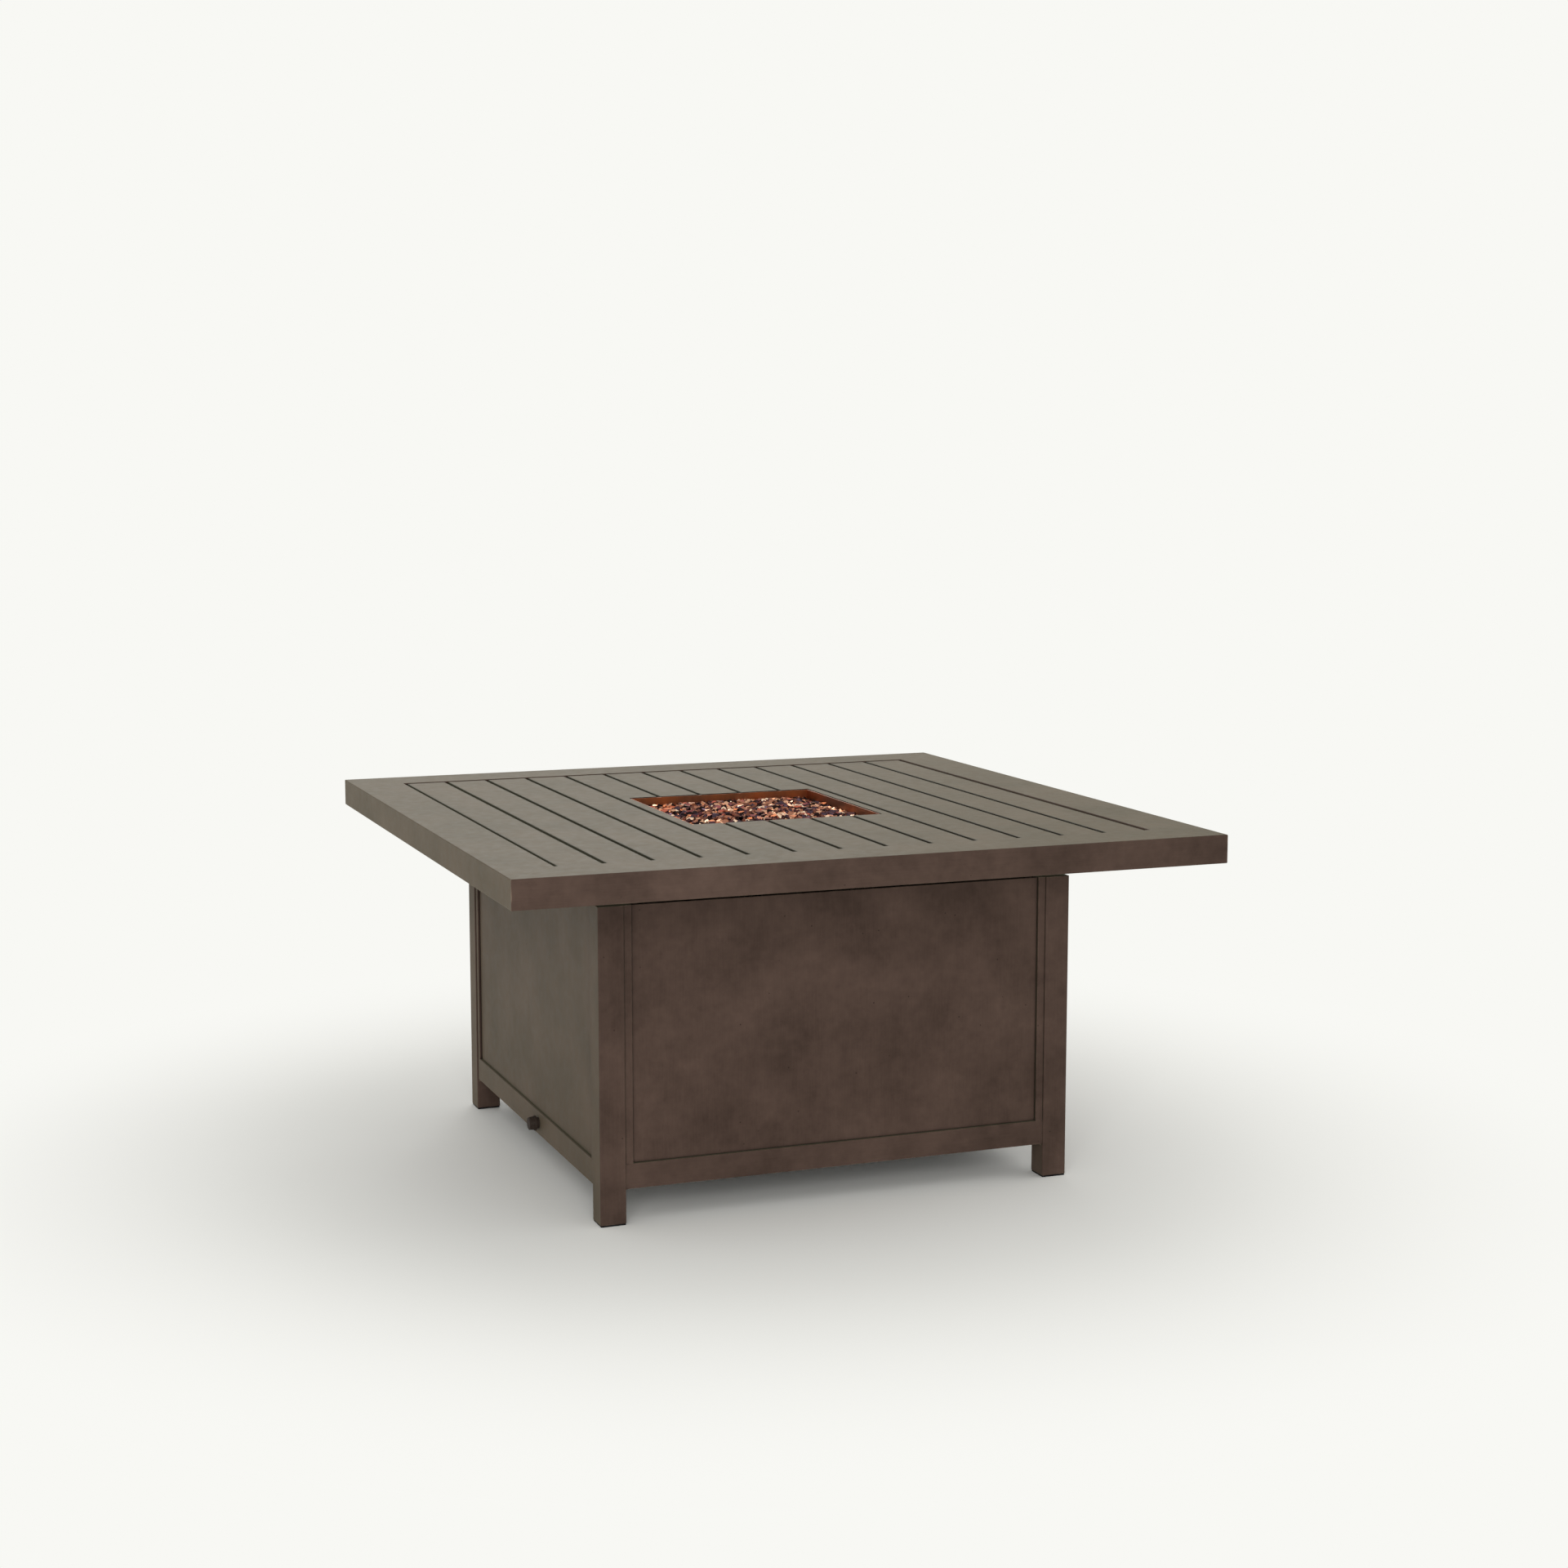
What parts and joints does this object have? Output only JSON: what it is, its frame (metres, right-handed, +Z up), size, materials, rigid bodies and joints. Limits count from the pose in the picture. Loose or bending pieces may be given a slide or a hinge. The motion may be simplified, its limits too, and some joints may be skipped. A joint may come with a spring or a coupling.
{
  "type": "gas fire pit table",
  "caption": "Square gas fire table: slatted metal top with an overhang round a recessed burner pan of fire glass, on a panelled base with square legs and a control knob low on one side.",
  "frame": {"origin": "on the floor, under the middle of the table top", "axes": "+Z up, the front with the access panel faces -Y, the control knob is on the -X side"},
  "size_m": [1.118, 1.118, 0.56],
  "materials": {
    "bronze_powder_coat": "bronze-brown powder coat on aluminium, brushed by hand, satin",
    "inner_aluminium": "dark powder coat, satin",
    "stainless_steel": "stainless sheet and tube, heat-tinted near the burner",
    "brass": "machined",
    "zinc_steel": "zinc plated",
    "pipe_aluminium": "drawn tube",
    "fire_glass": "crushed tempered glass, reflective bronze and black",
    "dark_knob": "dark bronze, satin",
    "black_plastic": "moulded"
  },
  "bodies": {
    "table": {"air_mixer": "stainless_steel", "bearer_back": "inner_aluminium", "bearer_front": "inner_aluminium", "bearers_side": "inner_aluminium", "bottom_rail_back": "bronze_powder_coat", "bottom_rail_front": "bronze_powder_coat", "bottom_rail_left": "bronze_powder_coat", "bottom_rail_right": "bronze_powder_coat", "bracket_screws": "zinc_steel", "burner_lock_nut": "stainless_steel", "burner_pan": "stainless_steel", "burner_ring": "stainless_steel", "feed_pipe": "pipe_aluminium", "fire_glass": "fire_glass", "flare_nuts": "brass", "foot_glides": "black_plastic", "gas_inlet": "brass", "heat_shield": "stainless_steel", "heat_shield_spacers": "stainless_steel", "leg_back_left": "bronze_powder_coat", "leg_back_right": "bronze_powder_coat", "leg_front_left": "bronze_powder_coat", "leg_front_right": "bronze_powder_coat", "orifice_fitting": "brass", "pan_screws": "zinc_steel", "panel_back": "bronze_powder_coat", "panel_left": "bronze_powder_coat", "panel_magnets": "black_plastic", "panel_right": "bronze_powder_coat", "panel_stiles": "bronze_powder_coat", "slat_01": "bronze_powder_coat", "slat_02": "bronze_powder_coat", "slat_03": "bronze_powder_coat", "slat_04": "bronze_powder_coat", "slat_05": "bronze_powder_coat", "slat_06": "bronze_powder_coat", "slat_07": "bronze_powder_coat", "slat_08": "bronze_powder_coat", "slat_09": "bronze_powder_coat", "slat_10": "bronze_powder_coat", "slat_11": "bronze_powder_coat", "slat_12": "bronze_powder_coat", "slat_13": "bronze_powder_coat", "slat_ledges": "inner_aluminium", "top_brackets": "zinc_steel", "top_frame_back": "bronze_powder_coat", "top_frame_front": "bronze_powder_coat", "top_frame_left": "bronze_powder_coat", "top_frame_right": "bronze_powder_coat", "top_rail_back": "inner_aluminium", "top_rail_front": "inner_aluminium", "top_rail_left": "inner_aluminium", "top_rail_right": "inner_aluminium", "valve_body": "brass", "valve_panel_nut": "dark_knob"},
    "access_panel_body": {"access_panel": "bronze_powder_coat"},
    "knob_push_body": {"valve_push_sleeve": "brass"},
    "knob_body": {"control_knob": "dark_knob", "valve_stem": "stainless_steel"}
  },
  "joints": [
    {"name": "access_panel_pull", "type": "slide", "parent": "table", "child": "access_panel_body", "axis": [0, -1, 0], "range_m": [0, 0.08]},
    {"name": "knob_push", "type": "slide", "parent": "table", "child": "knob_push_body", "axis": [1, 0, 0], "range_m": [0, 0.004], "stiffness_N_per_m": 500, "springref_m": -0.004},
    {"name": "knob_turn", "type": "hinge", "parent": "knob_push_body", "child": "knob_body", "pos_m": [-0.3905, -0.04, 0.073], "axis": [-1, 0, 0], "range_deg": [0, 210]}
  ]
}
